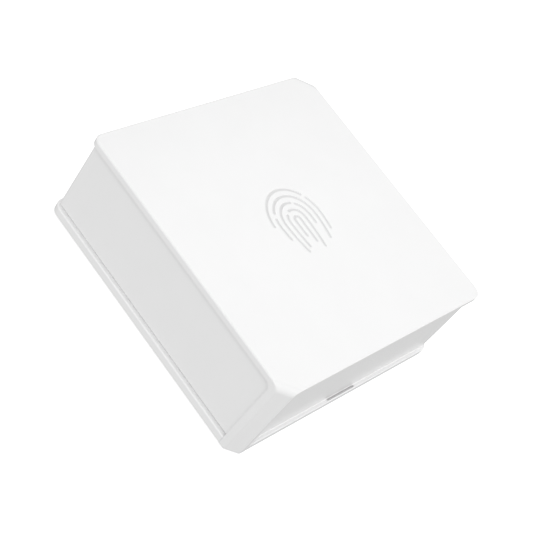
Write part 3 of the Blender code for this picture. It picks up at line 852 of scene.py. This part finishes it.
def build_power_socket():
    """Drawn metal shell with a rolled front edge, and the resin tongue inside it."""
    wide, deep, tall = INLET_SIZE
    z = ON_BOARD + tall / 2
    front = WAIST_HALF - 0.1
    back = front - deep

    def ring(y, inset):
        return (y, stadium(INLET_X, z, wide - 2 * inset, tall - 2 * inset, 14))

    rings = [ring(back, 0.0), ring(front - 0.08, 0.0), ring(front - 0.02, 0.04)]
    rings += [ring(front, 0.12), ring(front, 0.2)]
    rings += [ring(front - 0.08, INLET_SHEET), ring(back + 0.9, INLET_SHEET)]
    inlet = object_from("power_socket_shell", stack(rings, axis="Y"))
    shade(inlet)
    place(inlet, TIN, stands_for=["power_inlet_shell"], slot="tinned_steel")
    rings = []
    for y, inset in ((back + 1.2, 0.0), (front - 0.9, 0.0), (front - 0.65, 0.08), (front - 0.6, 0.16)):
        outline = stadium(INLET_X, z, TONGUE_WIDTH - 2 * inset, TONGUE_HEIGHT - 2 * inset, 8)
        rings.append((y, outline))
    tongue = object_from("power_socket_tongue", stack(rings, axis="Y"))
    shade(tongue)
    place(tongue, BLACK, stands_for=["power_inlet_tongue"], slot="black_resin")


# ---------------------------------------------------------------- what stays as packed

# The CAD nodes, their look and the width of the bevel on their edges
KEPT = (
    ("case_screw_1 case_screw_2 case_screw_3 case_screw_4", STEEL, 0.12),
    ("board_screw_1 board_screw_2 board_screw_3 board_screw_4 touch_screw_1 touch_screw_2", STEEL, 0.1),
    ("main_board touch_board", BOARD, 0.05),
    ("processor radio_chip memory_chip_1 memory_chip_2 reset_switch reset_plunger", BLACK, 0.08),
    ("processor_shield radio_shield", TIN, 0.1),
    ("heat_spreader power_capacitor_1 power_capacitor_2", ALUMINIUM, 0.12),
    ("wifi_antenna_1 wifi_antenna_2 mesh_antenna", GOLD, 0.06),
    ("touch_film touch_flex", AMBER, 0.0),
    ("touch_foam thermal_pad", SOFT, 0.15),
    ("status_led flex_socket", IVORY, 0.08),
    ("power_coil", FERRITE, 0.15),
)


def dress_kept_nodes():
    for names, look, width in KEPT:
        for name in names.split():
            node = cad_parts[name]
            if not node.material_slots:
                node.data.materials.append(look)
            for slot in node.material_slots:
                slot.material = look
            if width:
                bevel = node.modifiers.new("edges", "BEVEL")
                bevel.width = width * MM
                bevel.segments = 2
                bevel.limit_method = "ANGLE"
                bevel.angle_limit = math.radians(50)


# ---------------------------------------------------------------- stage

# The glow keeps the floor as white as the photograph's background.
SKY_LIGHT = 0.58
FLOOR_GLOW = 0.35
FLOOR_REACH = 3000.0
# Name, azimuth, elevation, irradiance and softness
SUNS = (
    ("key", -73.0, 55.0, 0.75, 26.0),
    ("overhead", 0.0, 80.0, 0.48, 72.0),
    ("left_fill", -90.0, 10.0, 0.7, 40.0),
    ("front_fill", 38.0, 15.0, 0.79, 40.0),
    ("sheen", 105.0, 47.0, 0.2, 23.0),
)
# Aim in millimetres, angles in degrees, distance and lens in millimetres
CAMERA_AIM = (-5.3, -4.0, 18.4)
CAMERA_AZIMUTH = -70.657
CAMERA_ELEVATION = 42.862
CAMERA_DISTANCE = 451.0
CAMERA_ROLL = 39.486
CAMERA_LENS = 93.94


def towards(azimuth, elevation):
    """Unit vector to a place seen at this azimuth, 0 being in front (-Y) and 90 the right (+X)."""
    a = math.radians(azimuth)
    e = math.radians(elevation)
    return Vector((math.sin(a) * math.cos(e), -math.cos(a) * math.cos(e), math.sin(e)))


def build_stage():
    """A white paper floor, which throws no bounce light or reflection on the hub."""
    bm = bmesh.new()
    bmesh.ops.create_grid(bm, x_segments=8, y_segments=8, size=FLOOR_REACH)
    floor = object_from("floor", bm)
    look = Look("floor_paper")
    tone = look.noise(120.0, 2.0)
    floor.data.materials.append(look.set(
        Base_Color=look.colour(tone, (0.955, 0.955, 0.955), (0.96, 0.96, 0.96)),
        Roughness=0.9,
        Emission_Color=(1.0, 1.0, 1.0, 1.0),
        Emission_Strength=FLOOR_GLOW,
    ))
    floor.visible_glossy = False
    floor.visible_diffuse = False


def sun(name, azimuth, elevation, irradiance, softness):
    """Even light from far away. Softness is the source's width in degrees, seen from the object."""
    data = bpy.data.lights.new(name, "SUN")
    data.energy = irradiance
    data.angle = math.radians(softness)
    lamp = bpy.data.objects.new(name, data)
    lamp.rotation_euler = (-towards(azimuth, elevation)).to_track_quat("-Z", "Y").to_euler()
    bpy.context.scene.collection.objects.link(lamp)


def build_light():
    world = bpy.data.worlds.new("studio")
    bpy.context.scene.world = world
    world.use_nodes = True
    back = world.node_tree.nodes["Background"]
    back.inputs["Color"].default_value = (1.0, 1.0, 1.0, 1.0)
    back.inputs["Strength"].default_value = SKY_LIGHT
    for lamp in SUNS:
        sun(*lamp)
    view = bpy.context.scene.view_settings
    view.view_transform = "Standard"
    view.look = "None"
    view.exposure = 0.0
    view.gamma = 1.0


def build_camera():
    data = bpy.data.cameras.new("camera")
    data.lens = CAMERA_LENS
    data.clip_start = 0.01
    data.clip_end = 20.0
    camera = bpy.data.objects.new("camera", data)
    back = towards(CAMERA_AZIMUTH, CAMERA_ELEVATION)
    camera.location = Vector(CAMERA_AIM) * MM + back * (CAMERA_DISTANCE * MM)
    level = (-back).to_track_quat("-Z", "Y").to_matrix()
    roll = Matrix.Rotation(math.radians(CAMERA_ROLL), 3, "Z")
    camera.rotation_euler = (level @ roll).to_euler()
    bpy.context.scene.collection.objects.link(camera)
    bpy.context.scene.camera = camera


build_camera()
build_top_shell()
build_sign_fill()
build_base_shell()
build_port_band()
build_feet()
build_status_light()
build_reset_cap()
build_network_socket()
build_power_socket()
dress_kept_nodes()
build_stage()
build_light()
